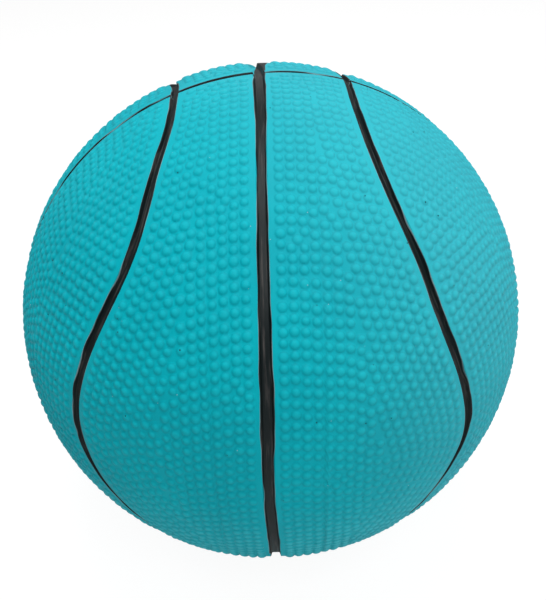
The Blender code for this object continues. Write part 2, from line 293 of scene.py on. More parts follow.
def row_beside(seam, distance):
    """Directions a pitch apart along a line beside a seam; a negative distance is its other side."""
    forward = unit(np.roll(seam, -1, axis=0) - np.roll(seam, 1, axis=0))
    angle = distance / RADIUS
    line = seam * math.cos(angle) + np.cross(seam, forward) * math.sin(angle)
    line = np.vstack([line, line[:1]])
    steps = np.linalg.norm(np.diff(line, axis=0), axis=1)
    run = np.concatenate([[0], np.cumsum(steps)]) * RADIUS
    count = max(FEWEST_IN_ROW, round(run[-1] / PEBBLE_PITCH))
    slips = PITCH_SPREAD * rng.standard_normal(count)
    stops = (np.arange(count) + slips) * run[-1] / count % run[-1]
    return unit(np.stack([np.interp(stops, run, line[:, k]) for k in range(3)], axis=-1))


def rows_of_pebbles():
    """All the rows, nearest to the grooves first."""
    for row in range(ROW_COUNT):
        distance = FIRST_ROW + row * ROW_STEP
        for seam in seams:
            for side in (1, -1):
                ways = row_beside(seam, side * distance)
                yield ways[clear_of_seams(ways, distance - ROW_MARGIN)]


rows = np.vstack(list(rows_of_pebbles()))
print("places in rows:", len(rows))

# %% [markdown]
# ## Pebbles between the rows
# Where the rows of two grooves meet, pebbles crowd and leave holes. A crowding pebble is left out,
# spare ones from an even spiral fill the holes, and neighbours push each other apart while the row
# next to a groove stays. An even packing from the start would hide the rows.

# %% Pebbles between the rows
SPARE_COUNT = 24000
GOLDEN_SHARE = 3 - math.sqrt(5)
LEAST_SPACING = 1.9 * MM
PAD_CLEARANCE = 17.5 * MM
PUSH_ROUNDS = 16
PUSH_SHARE = 0.25
NEIGHBOURS = 7


def spare_pebbles():
    """Directions spread evenly along a spiral, away from the grooves."""
    steps = np.arange(SPARE_COUNT) + 0.5
    height = 1 - 2 * steps / SPARE_COUNT
    angle = steps * math.pi * GOLDEN_SHARE
    level = np.sqrt(1 - height**2)
    ways = np.stack([level * np.cos(angle), level * np.sin(angle), height], axis=-1)
    return ways[clear_of_seams(ways, FIRST_ROW)]


def thinned(ways):
    """Leaves out each pebble that crowds one that came before it, and those beside the rest ring."""
    tree = tree_of(ways * RADIUS)
    stays = np.zeros(len(ways), bool)
    for index, way in enumerate(ways):
        near = tree.find_range(way * RADIUS, LEAST_SPACING)
        stays[index] = not any(stays[other] for _, other, _ in near)
    return ways[stays & (axis_distance(ways) > PAD_CLEARANCE)]


def relaxed(ways):
    """Neighbours closer than a row step push each other apart; the row beside a groove stays."""
    free = (gaps_to(seam_tree, ways) > FIRST_ROW + ROW_MARGIN)[:, None]
    for _ in range(PUSH_ROUNDS):
        points = ways * RADIUS
        tree = tree_of(points)
        found = np.array([[other for _, other, _ in tree.find_n(p, NEIGHBOURS)][1:] for p in points])
        apart = points[:, None] - points[found]
        gap = np.linalg.norm(apart, axis=2, keepdims=True)
        force = (apart / gap * np.clip(ROW_STEP - gap, 0, None)).sum(axis=1)
        ways = unit(points + PUSH_SHARE * free * force)
    return ways


pebbles = relaxed(thinned(np.vstack([rows, spare_pebbles()])))
print("pebbles:", len(pebbles))

# %% [markdown]
# ## The height of the skin
# One function says how far the skin stands from the centre: the smooth band, less the grooves, plus
# the pebbles, each about as wide as its neighbours allow. Long waves move it a little, because
# poured latex is never quite round. A displacement texture would know nothing of the rows. Near the
# rest ring the band and the waves fade, so the turned base fits without a step.

# %% Skin height
BAND_RADIUS = 74.34 * MM
PEBBLE_RADIUS = 1.25 * MM
RADIUS_SPREAD = 0.06
WIDEST_SHARE = 0.53
PEBBLE_HEIGHT = 0.50 * MM
HEIGHT_SPREAD = 0.10
PEBBLE_ROUNDNESS = 0.72
WAVE_HEIGHT = 0.05 * MM
WAVE_COUNT = 6
WAVE_SCALE = 1.6
BASE_FADE = (15.0 * MM, 24.0 * MM)


def varied(mean, spread, lowest, highest):
    """A value for each pebble about a mean, between two numbers of spreads from it."""
    return mean * (1 + spread * rng.standard_normal(len(pebbles)).clip(lowest, highest))


pebble_tree = tree_of(pebbles * RADIUS)
next_pebble = np.array([pebble_tree.find_n(way * RADIUS, 2)[1][2] for way in pebbles])
pebble_radius = np.minimum(varied(PEBBLE_RADIUS, RADIUS_SPREAD, -2, 2), WIDEST_SHARE * next_pebble)
pebble_height = varied(PEBBLE_HEIGHT, HEIGHT_SPREAD, -2, 1)
wave_ways = rng.standard_normal((WAVE_COUNT, 3)) * WAVE_SCALE
wave_phase = rng.random(WAVE_COUNT) * 2 * math.pi


def smooth_radius(ways, inset=0.0):
    """The skin without its pebbles, with its grooves made narrower by an inset."""
    waves = WAVE_HEIGHT * np.cos(ways @ wave_ways.T + wave_phase).sum(axis=1)
    away = smooth_step(axis_distance(ways), *BASE_FADE)
    return RADIUS + (BAND_RADIUS - RADIUS + waves) * away - groove_depth(ways, inset)


def pebble_rise(ways):
    """Height of the pebble over each direction, as a share of its own height, and in metres."""
    nearest = [pebble_tree.find(way * RADIUS)[1:] for way in ways]
    index = np.array([found[0] for found in nearest])
    reach = np.array([found[1] for found in nearest]) / pebble_radius[index]
    share = np.clip(1 - reach**2, 0, 1) ** PEBBLE_ROUNDNESS
    return share, share * pebble_height[index]


print("mean pebble radius in mm:", round(pebble_radius.mean() / MM, 2))

# %% [markdown]
# ## A slab with close lines
# Each panel of the skin starts as a coarse flat slab. Only its top is cut finer, because the inside
# is plain. A subdivided ball would have its points where no groove is, so here the lines lie close
# together at the borders, which run in the grooves.

# %% Slab and its lines
FINE_CUTS = 9
FLOOR_LINES = 3
GROOVE_LINES = 13
FLOOR_WIDTH = 0.6 * MM
BAND_EDGE = 1.9 * MM
SLANT_REACH = 5 * BAND_EDGE


def slab(along, across, cuts=0):
    """A slab over 0..1 by 0..1 from z = 0 to z = 1, whose top can be cut finer."""
    bm = bmesh.new()
    bmesh.ops.create_grid(bm, x_segments=along, y_segments=across, size=0.5)
    bmesh.ops.translate(bm, verts=bm.verts, vec=(0.5, 0.5, 0))
    raised = bmesh.ops.extrude_face_region(bm, geom=bm.faces[:])["geom"]
    top = [part for part in raised if isinstance(part, bmesh.types.BMVert)]
    bmesh.ops.translate(bm, verts=top, vec=(0, 0, 1))
    if cuts:
        edges = [edge for edge in bm.edges if min(vert.co.z for vert in edge.verts) > 0.5]
        bmesh.ops.subdivide_edges(bm, edges=edges, cuts=cuts, use_grid_fill=True)
    return bm


def groove_spaced(t, length, cells):
    """Distance along a length at share t of its lines, with lines close together at both ends."""
    lines = np.minimum(t, 1 - t) * cells
    ends = np.interp(lines, (0, FLOOR_LINES, GROOVE_LINES), (0, FLOOR_WIDTH, BAND_EDGE))
    share = (t * cells - GROOVE_LINES) / (cells - 2 * GROOVE_LINES)
    middle = BAND_EDGE + share * (length - 2 * BAND_EDGE)
    return np.where(lines > GROOVE_LINES, middle, np.where(t < 0.5, ends, length - ends))


def slanted(from_groove, stretch):
    """Distances from a slanting groove along the side angle; far from it they don't change."""
    near = 1 - smooth_step(from_groove, BAND_EDGE, SLANT_REACH)
    return from_groove * (1 + (stretch - 1) * near)


print("fine cells to a coarse one:", (FINE_CUTS + 1) ** 2)

# %% [markdown]
# ## From a flat slab to a piece
# To bend a slab, every point's flat coordinates become a place on the ball. Bending modifiers can't
# follow a groove, so a function moves all points at once. What a material has to know of a point,
# such as its height on a pebble, is kept on the mesh.

# %% Bending and finishing
MERGE_DISTANCE = 1e-4 * MM
SOFT_ANGLE = 65


def points_of(mesh):
    flat = np.empty(len(mesh.vertices) * 3, np.float32)
    mesh.vertices.foreach_get("co", flat)
    return flat.reshape(-1, 3).astype(float)


def keep_values(mesh, name, values):
    """Keeps one number for each point on the mesh, for the materials to read."""
    mesh.attributes.new(name, "FLOAT", "POINT").data.foreach_set("value", values.astype(np.float32))


def linked(name, data):
    """A new object in the scene."""
    made = bpy.data.objects.new(name, data)
    bpy.context.scene.collection.objects.link(made)
    return made


def piece_of(name, bm, sharp=SOFT_ANGLE):
    """Makes a piece of a bmesh, with its doubles merged, facing out and shaded smooth."""
    bmesh.ops.remove_doubles(bm, verts=bm.verts, dist=MERGE_DISTANCE)
    bmesh.ops.recalc_face_normals(bm, faces=bm.faces)
    mesh = bpy.data.meshes.new(name)
    bm.to_mesh(mesh)
    bm.free()
    mesh.shade_smooth()
    mesh.set_sharp_from_angle(angle=math.radians(sharp))
    return linked(name, mesh)


def bent_piece(name, bm, place):
    """Makes a piece of a bmesh whose points are moved by place."""
    flat = bpy.data.meshes.new(name + "_flat")
    bm.to_mesh(flat)
    bm.free()
    flat.vertices.foreach_set("co", place(flat, points_of(flat)).astype(np.float32).ravel())
    bent = bmesh.new()
    bent.from_mesh(flat)
    bpy.data.meshes.remove(flat)
    return piece_of(name, bent)


def triangles(piece):
    piece.data.calc_loop_triangles()
    return len(piece.data.loop_triangles)


print("edges up to", SOFT_ANGLE, "degrees are shaded smooth")

# %% [markdown]
# ## The long panels
# The skin is one moulding, but as one mesh it would be too heavy, so it is divided in the grooves,
# where joins don't show. Four long panels lie between the front groove's circle and the loops. Where
# a line of their grid ends depends on the slant of the cross groove, and a few rounds settle that.

# %% Long panels
CAVITY_RADIUS = 71.8 * MM
CAVITY_FLOOR = 4.5 * MM
BASE_BORDER = 14.0 * MM
CORNER_REACH = 1.2
LONG_GRID = (56, 17)
SETTLING_ROUNDS = 8


def skin_points(mesh, ways, layer):
    """Places the top of a slab on the skin and its underside on the inside, and keeps the rise."""
    top = layer > 0.5
    points = ways * CAVITY_RADIUS + CENTRE
    points[:, 2] = np.maximum(points[:, 2], CAVITY_FLOOR)
    share, rise = pebble_rise(ways[top])
    points[top] = ways[top] * (smooth_radius(ways[top]) + rise)[:, None] + CENTRE
    shares = np.zeros(len(ways))
    shares[top] = share
    keep_values(mesh, "rise", shares)
    return points


def long_side_angle(across, turn, hand):
    """Side angle at a share across a long panel, from the front groove's circle to the loop."""
    cells = LONG_GRID[1] * (FINE_CUTS + 1)
    loop = loop_angle(turn, hand)
    width = RADIUS * (loop - hand * stray(FRONT_KINKS, turn))
    from_loop = width - groove_spaced(across, width, cells)
    stretch = slant(loop_angle, turn, hand)
    return loop - np.minimum(slanted(from_loop, stretch), width) / RADIUS


def cross_lean(side):
    """How far the cross groove has turned from the top at a side angle."""
    along = np.sin(side) / math.cos(CROSS_TURN)
    return np.arctan2(along * math.sin(CROSS_TURN), np.sqrt(1 - along**2))


def long_panel_points(mesh, flat, hand, behind):
    """Bends a slab onto the strip between the front groove's circle and a loop."""
    along, across, layer = flat.T
    border = math.asin(BASE_BORDER / RADIUS)
    cells = LONG_GRID[0] * (FINE_CUTS + 1)
    turn = along * math.pi
    for _ in range(SETTLING_ROUNDS):
        side = long_side_angle(across, behind * turn, hand)
        lean = hand * behind * cross_lean(side)
        last = math.pi - np.arccos(np.clip(math.cos(border) / np.cos(side), -1, 1))
        last = last + lean * smooth_step(side, border, CORNER_REACH * border)
        turn = groove_spaced(along, RADIUS * (last + lean), cells) / RADIUS - lean
    ways = direction(behind * turn, hand * long_side_angle(across, behind * turn, hand))
    return skin_points(mesh, ways, layer)


print("fine cells of a long panel:", LONG_GRID[0] * LONG_GRID[1] * (FINE_CUTS + 1) ** 2)

# %% [markdown]
# ## The half caps, and all eight panels
# Each loop holds two half caps. Rings about the middle of a cap would crowd into one point, so the
# grid is laid in half squares, one inside the other, and bent into half rings. Mirrored copies would
# be quicker, but no two panels are alike, so each of the eight is bent by itself.

# %% Half caps and all panels
CAP_GRID = (55, 15)
CAP_HEIGHT = RADIUS * (math.pi / 2 - RIGHT_LOOP[2])
TINY = 1e-9


def loop_from_cross(turn, hand):
    """Side angle of a loop in the frame that is square to the cross groove."""
    angle = loop_angle(turn, hand)
    for _ in range(2 * SETTLING_ROUNDS):
        side, true_turn = angles_of(spun(direction(turn, hand * angle)))
        angle = angle + loop_angle(true_turn, hand) - hand * side
    return angle


def half_cap_points(mesh, flat, hand, behind):
    """Bends a slab onto the half of a cap, with rings that follow the loop."""
    across, up, layer = 2 * flat[:, 0] - 1, flat[:, 1], flat[:, 2]
    cells = CAP_GRID[1] * (FINE_CUTS + 1)
    up = groove_spaced(up / 2, 2 * CAP_HEIGHT, 2 * cells) / CAP_HEIGHT
    ring = np.maximum(np.abs(across), up)
    low = np.abs(across) >= up
    reach = np.where(low, up, across) / np.maximum(ring, TINY)
    # Half a ring is four steps: one up its right side, two along its top and one down its left
    at_side = np.where(across > 0, reach, 4 - reach)
    turn = behind * math.pi / 4 * np.where(low, at_side, 2 - reach)
    loop = loop_from_cross(turn, hand)
    from_loop = groove_spaced((1 - ring) / 2, 2 * RADIUS * (math.pi / 2 - loop), 2 * cells)
    stretch = slant(loop_from_cross, turn, hand)
    side = loop + slanted(from_loop, stretch) / RADIUS
    return skin_points(mesh, spun(direction(turn, hand * side)), layer)


PANEL_SHAPES = (("skin_long", LONG_GRID, long_panel_points), ("skin_cap", CAP_GRID, half_cap_points))


def skin_panels():
    for depth, behind in (("front", 1), ("back", -1)):
        for side, hand in HANDS:
            for word, grid, bend in PANEL_SHAPES:
                place = lambda mesh, flat: bend(mesh, flat, hand, behind)
                yield bent_piece(f"{word}_{depth}_{side}", slab(*grid, FINE_CUTS), place)


panels = list(skin_panels())
for panel in panels:
    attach(panel, "ball")
    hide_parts("latex_skin")
    print(panel.name, "triangles:", triangles(panel))

# %% [markdown]
# ## The base of the skin
# Under the ball the latex is thicker: a flat ring to rest on, a seat for the squeaker's flange and a
# hole for its neck. It could be cut out of a block, but everything there is round about the upright
# axis, so an outline is spun about it, and some rings are bevelled.

# %% Turned pieces and the skin's base
BEVEL = {"segments": 4, "profile": 0.5, "affect": "EDGES", "material": -1}
RING_TOLERANCE = 1e-3 * MM
BASE_STEPS = 128
BASE_ARC = 6
BASE_LIP = 0.5 * MM
BASE_SINK = 0.02 * MM
SEAT_RADIUS = 8.3 * MM
SEAT_TOP = 1.6 * MM
HOLE_RADIUS = 5.2 * MM
EDGE_ROUNDING = 0.3 * MM


def turned_bmesh(outline, steps, rounded=()):
    """Spins (radius, height) points about the axis and bevels the rings of some, given by number."""
    bm = bmesh.new()
    corners = [bm.verts.new((radius, 0, height)) for radius, height in outline]
    lines = [bm.edges.new(pair) for pair in zip(corners, corners[1:] + corners[:1])]
    geom = corners + lines
    bmesh.ops.spin(bm, geom=geom, axis=(0, 0, 1), angle=2 * math.pi, steps=steps, use_merge=True)
    bmesh.ops.remove_doubles(bm, verts=bm.verts, dist=MERGE_DISTANCE)
    bmesh.ops.recalc_face_normals(bm, faces=bm.faces)
    for number, width in rounded:
        place = Vector(outline[number])
        off = {v: (Vector((v.co.xy.length, v.co.z)) - place).length for v in bm.verts}
        ring = [edge for edge in bm.edges if max(off[v] for v in edge.verts) < RING_TOLERANCE]
        bmesh.ops.bevel(bm, geom=ring, offset=width, **BEVEL)
    return bm


def skin_base():
    """The turned base, which reaches a little under the panels."""
    outside = RADIUS - BASE_SINK
    floor = CAVITY_FLOOR - BASE_SINK
    arc = np.linspace(BASE_BORDER + BASE_LIP, REST_RING_RADIUS, BASE_ARC)
    outline = [(r, max(0.0, CENTRE[2] - math.sqrt(outside**2 - r**2))) for r in arc]
    outline += [(SEAT_RADIUS, 0.0), (SEAT_RADIUS, SEAT_TOP), (HOLE_RADIUS, SEAT_TOP)]
    outline += [(HOLE_RADIUS, floor), (BASE_BORDER * CAVITY_RADIUS / RADIUS, floor)]
    rounded = [(BASE_ARC + corner, EDGE_ROUNDING) for corner in (0, 2, 3)]
    return piece_of("skin_base", turned_bmesh(outline, BASE_STEPS, rounded), sharp=40)


base = skin_base()
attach(base, "ball")
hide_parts("latex_skin")
print("skin_base triangles:", triangles(base))

# %% [markdown]
# ## A stroke of paint
# Someone brushed black paint into each groove by hand, up to its lips, so its width wanders. A black
# colour on the latex would have no thickness, so each stroke is a thin slab that is bent along its
# groove and dips under the latex at its edges. It keeps its lengthwise and crosswise places for the
# brush marks.

# %% Stroke of paint
FILM_HEIGHT = 0.06 * MM
FILM_INSET = 0.05 * MM
FILM_SINK = 0.15 * MM
FEATHER = 16
STROKE_LINES = 28
BRUSH_SHARE = 1.02
BRUSH_WANDER = 0.20 * MM
WANDER_CYCLES = np.array((5, 11, 19, 34, 61))
WANDER_SPREAD = (0.5, 1.3)
WANDER_FADE = 20
STROKE_END = 1.4 * MM
POINTED_END = 0.0004


def wander():
    """A seeded wavy function of an angle, the same again after a full turn."""
    phases = rng.random(len(WANDER_CYCLES)) * 2 * math.pi
    sizes = BRUSH_WANDER * rng.uniform(*WANDER_SPREAD, len(WANDER_CYCLES))
    sizes = sizes / (1 + WANDER_CYCLES / WANDER_FADE)
    waves = list(zip(sizes, WANDER_CYCLES, phases))
    return lambda angle: sum(size * np.cos(cycles * angle + phase) for size, cycles, phase in waves)


def stroke(name, line, first, last, lip, lift, step):
    """A strip of paint along a line of directions between two angles; a full turn is closed."""
    length = RADIUS * abs(last - first)
    edges = (wander(), wander())

    def place(mesh, flat):
        angle = first + (last - first) * flat[:, 0]
        across = np.sin(math.pi * (flat[:, 1] - 0.5))
        middle = line(angle)
        beside = np.cross(middle, unit(line(angle + SLOPE_STEP) - line(angle - SLOPE_STEP)))
        strays = np.where(across > 0, edges[0](angle), edges[1](angle))
        wide = BRUSH_SHARE * lip(angle) + strays * (lip(angle) / FRONT_LIP) ** 2
        to_end = axis_distance(middle) - GROOVE_END_AXIS
        wide = wide * np.sqrt(np.clip(to_end / STROKE_END, POINTED_END, 1))
        swing = (across * wide / RADIUS)[:, None]
        ways = middle * np.cos(swing) + beside * np.sin(swing)
        under = smooth_radius(ways) - FILM_SINK
        film = smooth_radius(ways, FILM_INSET) + FILM_HEIGHT * lift
        film = film + (under - film) * np.abs(across) ** FEATHER
        radius = np.where(flat[:, 2] > 0.5, film, under)
        keep_values(mesh, "along", flat[:, 0] * length)
        keep_values(mesh, "across", across)
        return ways * radius[:, None] + CENTRE

    bm = slab(round(length / step), STROKE_LINES)
    if math.isclose(abs(last - first), 2 * math.pi):
        ends = [face for face in bm.faces if abs(face.normal.x) > 0.5]
        bmesh.ops.delete(bm, geom=ends, context="FACES_ONLY")
    return bent_piece(name, bm, place)


print("lines across a stroke:", STROKE_LINES)

# %% [markdown]
# ## Where the strokes run
# The front groove's circle has one stroke that ends beside the base, and each loop has a closed one.
# One long stroke in the cross groove would cut through those, so it has six, each between two lines
# that it meets, in finer steps to follow their lips.

# %% Strokes in their grooves
STROKE_STEP = 0.7 * MM
CROSS_STEP = 0.25 * MM
CROSS_LIFT = 0.7
STROKE_OVERLAP = 0.4 * MM
NEAR_TOP = 0.1
LAST_ANGLE = math.pi - math.asin((GROOVE_END_AXIS + STROKE_OVERLAP) / RADIUS)


def crossing(apart, low, high):
    """The angle along the cross groove, between two others, at which it meets another line."""
    angles = np.linspace(low, high, SEAM_SAMPLES)
    return angles[np.argmin(np.abs(apart(*angles_of(on_cross(angles)))))]


def cross_strokes():
    """The cross groove's strokes as (place, first angle, last angle)."""
    gap = STROKE_OVERLAP / RADIUS
    from_brush = lambda side, turn: side - stray(FRONT_KINKS, turn, slips=False)
    middle = crossing(from_brush, -NEAR_TOP, NEAR_TOP)
    for word, hand in HANDS:
        from_loop = lambda side, turn: hand * side - loop_angle(turn, hand)
        upper = hand * crossing(from_loop, NEAR_TOP * hand, hand * math.pi / 2)
        lower = hand * crossing(from_loop, hand * math.pi / 2, hand * LAST_ANGLE)
        yield f"top_{word}", middle + hand * gap, hand * (upper - gap)
        yield word, hand * (upper + gap), hand * (lower - gap)
        yield f"base_{word}", hand * (lower + gap), hand * LAST_ANGLE


def paint_strokes():
    """What each stroke needs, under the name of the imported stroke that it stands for."""
    yield "paint_meridian", under_brush, -LAST_ANGLE, LAST_ANGLE, front_lip, 1.0, STROKE_STEP
    for side, hand in HANDS:
        yield f"paint_loop_{side}", on_loop(hand), -math.pi, math.pi, loop_lip, 1.0, STROKE_STEP
    for place, first, last in cross_strokes():
        yield f"paint_cross_{place}", on_cross, first, last, cross_lip, CROSS_LIFT, CROSS_STEP


strokes = []
for node_name, *settings in paint_strokes():
    painted = stroke(node_name.replace("paint", "stroke"), *settings)
    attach(painted, "ball")
    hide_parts(node_name)
    strokes.append(painted)
print("strokes:", len(strokes), "triangles:", sum(triangles(s) for s in strokes))

# %% [markdown]
# ## The fibre filling
# Polyester fibre is stuffed in as tufts that press against each other and the skin. The wad is
# turned like the base, and every point sinks in by how far it lies from the nearest tuft, so the
# tufts meet in creases. A cloth simulation would not help: loose fibre has no sheet to swell.

# %% Fibre filling
FILLING_RADIUS = 71.3 * MM
FILLING_FLOOR = 5.0 * MM
POCKET_RADIUS = 6.8 * MM
POCKET_TOP = 17.8 * MM
FILLING_STEPS = 144
FILLING_ARC = 90
TUFT_COUNT = 420
CREASE_DEPTH = 1.6 * MM
ON_SURFACE = 0.01 * MM


def fibre_filling():
    """A turned wad whose round side is sunk between its tufts."""
    floor_reach = math.sqrt(FILLING_RADIUS**2 - (CENTRE[2] - FILLING_FLOOR) ** 2)
    angles = np.linspace(0, math.pi - math.asin(floor_reach / FILLING_RADIUS), FILLING_ARC)
    outline = [(FILLING_RADIUS * math.sin(a), CENTRE[2] + FILLING_RADIUS * math.cos(a)) for a in angles]
    outline += [(POCKET_RADIUS, FILLING_FLOOR), (POCKET_RADIUS, POCKET_TOP), (0.0, POCKET_TOP)]
    bm = turned_bmesh(outline, FILLING_STEPS)
    tufts = tree_of(unit(rng.standard_normal((TUFT_COUNT, 3))))
    spacing = math.sqrt(4 * math.pi / TUFT_COUNT)
    for vert in bm.verts:
        out = vert.co - Vector(CENTRE)
        if out.length > FILLING_RADIUS - ON_SURFACE and vert.co.z > FILLING_FLOOR + ON_SURFACE:
            away = tufts.find(out.normalized())[2] / spacing
            vert.co -= out.normalized() * CREASE_DEPTH * min(1.0, away) ** 2
    return piece_of("fibre_tufts", bm, sharp=50)


filling = fibre_filling()
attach(filling, "ball")
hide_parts("fibre_filling")
print("fibre triangles:", triangles(filling))

# %% [markdown]
# ## The squeaker's housing
# The housing is a plastic tube: a flange that shows under the ball, a neck that the latex grips, a
# barbed bead and a bore for the reed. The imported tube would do, but its edges are sharp, so its
# outline is turned again with bevels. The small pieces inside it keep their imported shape.

# %% Squeaker housing
HOUSING_STEPS = 96
# Radius and height in millimetres: down the tube, bead, neck and flange, and up the air hole and bore
HOUSING_OUTLINE = (
    (5.2, 16.0), (5.2, 6.0), (6.2, 5.4), (6.2, 4.8), (4.9, 4.8), (4.9, 1.3),
    (8.0, 1.3), (8.0, 0.3), (1.3, 0.3), (1.3, 2.3), (4.3, 2.3), (4.3, 16.0),
)
# Points of the outline by number
SMALL_CORNERS = (0, 2, 3, 6, 8, 11)
SMALL_ROUNDING = 0.15 * MM
FLANGE_CORNER = 7
FLANGE_ROUNDING = 0.5 * MM


def squeaker_housing():
    outline = [(radius * MM, height * MM) for radius, height in HOUSING_OUTLINE]
    rounded = [(corner, SMALL_ROUNDING) for corner in SMALL_CORNERS] + [(FLANGE_CORNER, FLANGE_ROUNDING)]
    return piece_of("squeaker_tube", turned_bmesh(outline, HOUSING_STEPS, rounded), sharp=35)


housing = squeaker_housing()
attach(housing, "ball")
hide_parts("squeaker_housing")
print("housing triangles:", triangles(housing), "box:", [round(x / MM, 1) for x in housing.dimensions])

# %% [markdown]
# ## Node helpers
# Materials are built from shader nodes. Written out, each takes several lines, so one helper adds a
# node and fills or links its inputs, and the others do what comes up often.

# %% Node helpers
def node(tree, kind, inputs=None, **options):
    """Adds a node; inputs are values, or sockets to link, by the name or number of the input."""
    made = tree.nodes.new(kind)
    for name, value in options.items():
        setattr(made, name, value)
    for name, value in (inputs or {}).items():
        if isinstance(value, bpy.types.NodeSocket):
            tree.links.new(value, made.inputs[name])
        else:
            made.inputs[name].default_value = value
    return made


def calculated(tree, operation, a, b=0.0):
    return node(tree, "ShaderNodeMath", {0: a, 1: b}, operation=operation).outputs[0]


def product(tree, a, b):
    return calculated(tree, "MULTIPLY", a, b)


def mixed(tree, share, a, b, blend="MIX"):
    """A colour between a and b, or a with a share of b added."""
    inputs = {"Factor": share, 6: a, 7: b}
    return node(tree, "ShaderNodeMix", inputs, data_type="RGBA", blend_type=blend).outputs[2]


def ramped(tree, value, low, high, to_low=0.0, to_high=1.0):
    """The value spread from low..high to another range, with rounded ends."""
    inputs = {"Value": value, "From Min": low, "From Max": high, "To Min": to_low, "To Max": to_high}
    return node(tree, "ShaderNodeMapRange", inputs, interpolation_type="SMOOTHSTEP").outputs["Result"]


def attribute(tree, name):
    """The number that a piece keeps for each of its points."""
    return node(tree, "ShaderNodeAttribute", attribute_name=name).outputs["Fac"]


def new_material(name):
    """A material, its tree and its shader."""
    made = bpy.data.materials.new(name)
    made.use_nodes = True
    return made, made.node_tree, made.node_tree.nodes["Principled BSDF"]


def surface(tree, shader, colour, roughness, height, distance, strength=1.0):
    """Links the colour, the roughness and a bump of a height to a shader."""
    bump = node(tree, "ShaderNodeBump", {"Height": height, "Distance": distance, "Strength": strength})
    tree.links.new(colour, shader.inputs["Base Color"])
    tree.links.new(roughness, shader.inputs["Roughness"])
    tree.links.new(bump.outputs["Normal"], shader.inputs["Normal"])


print("helpers ready")

# %% [markdown]
# ## Two shared effects
# Every surface here has a fine grain or broad clouds, and the latex has scattered spots: pits left
# by air in the mould, and specks of dust. Each material could hold its own nodes, but as node groups
# they are made once. Only cells of a cell texture with a low random value show a spot.

# %% Shared node groups
NOISE_DETAIL = {"Detail": 3.0, "Roughness": 0.55}
SPOT_EDGE = (0.5, 1.0)


def new_group(name, numbers, outputs):
    """A node group with a place and some numbers as inputs, and the sockets inside it."""
    tree = bpy.data.node_groups.new(name, "ShaderNodeTree")
    tree.interface.new_socket("Place", in_out="INPUT", socket_type="NodeSocketVector")
    for socket in numbers:
        tree.interface.new_socket(socket, in_out="INPUT", socket_type="NodeSocketFloat")
    for socket in outputs:
        tree.interface.new_socket(socket, in_out="OUTPUT", socket_type="NodeSocketFloat")
    return tree, tree.nodes.new("NodeGroupInput").outputs, tree.nodes.new("NodeGroupOutput").inputs


def grain_group():
    scales, outputs = ("Grain Scale", "Cloud Scale"), ("Grain", "Clouds")
    tree, given, result = new_group("grain_and_clouds", scales, outputs)
    for scale, output in zip(scales, outputs):
        inputs = {"Vector": given["Place"], "Scale": given[scale], **NOISE_DETAIL}
        noise = node(tree, "ShaderNodeTexNoise", inputs)
        tree.links.new(noise.outputs["Fac"], result[output])
    return tree


def spot_group():
    tree, given, result = new_group("scattered_spots", ("Scale", "Size", "Share"), ("Spot",))
    cells = node(tree, "ShaderNodeTexVoronoi", {"Vector": given["Place"], "Scale": given["Scale"]})
    chance = node(tree, "ShaderNodeSeparateColor", {"Color": cells.outputs["Color"]}).outputs[0]
    chosen = calculated(tree, "LESS_THAN", chance, given["Share"])
    inside = calculated(tree, "DIVIDE", cells.outputs["Distance"], given["Size"])
    shape = ramped(tree, inside, *SPOT_EDGE, 1.0, 0.0)
    tree.links.new(product(tree, shape, chosen), result["Spot"])
    return tree


GRAIN = grain_group()
SPOTS = spot_group()


def object_place(tree):
    return node(tree, "ShaderNodeTexCoord").outputs["Object"]


def grain(tree, place, grain_scale, cloud_scale):
    inputs = {"Place": place, "Grain Scale": grain_scale, "Cloud Scale": cloud_scale}
    return node(tree, "ShaderNodeGroup", inputs, node_tree=GRAIN).outputs


def spots(tree, place, scale, size, share):
    inputs = {"Place": place, "Scale": scale, "Size": size, "Share": share}
    return node(tree, "ShaderNodeGroup", inputs, node_tree=SPOTS).outputs["Spot"]


print("groups:", GRAIN.name, SPOTS.name)

# %% [markdown]
# ## Latex
# Coloured latex is matt and opaque, with faint clouds, specks and pits. The pebbles' tops are paler,
# partly from wear and partly as a painted highlight, and their flanks darker as painted shade. A
# painted sheen lies towards the right and the back, and on the underside dust and a painted
# reflection of the floor. A painted picture could hold all this, but the skin would have to be laid
# flat. Here each effect reads where a point is and how high it lies on its pebble.

# %% Latex
LATEX_DEEP = (0.0, 0.425, 0.510, 1)
LATEX_PALE = (0.0, 0.475, 0.560, 1)
CLOUD_RANGE = (0.3, 0.7)
# Paler pebble tops: partly wear, partly a painted highlight
LATEX_WORN_HIGHLIGHT = (0.010, 0.52, 0.60, 1)
TOP_RANGE = (0.4, 1.0)
TOP_SHARE = 0.38
# Darker pebble flanks: painted shade
LATEX_FLANK_SHADE = (0.0, 0.31, 0.38, 1)
FLANK_START = (0.0, 0.2)
FLANK_END = (0.25, 0.75)
FLANK_SHARE = 0.38
# Added towards the right and the back: a painted sheen
LATEX_PAINTED_SHEEN = (0.030, 0.0, 0.0, 1)
SHEEN_WAY = (0.77, 0.64, 0.0)
SHEEN_RANGE = (-0.58, 0.15)
# Added on the underside's pebbles: partly dust, partly a painted reflection of the floor
LATEX_DUST_AND_REFLECTION = (0.055, 0.075, 0.075, 1)
DUST_AND_REFLECTION_WAY = (0.0, 0.0, -1.0)
DUST_AND_REFLECTION_RANGE = (0.12, 0.60)
DUST_AND_REFLECTION_RISE = (0.1, 0.9)
DUST_AND_REFLECTION_SHARES = (0.2, 1.0)
SPECK_COLOUR = (0.55, 0.72, 0.74, 1)
SPECK_SHARE = 0.7
PIT_COLOUR = (0.004, 0.10, 0.12, 1)
PIT_DEPTH = 3.0
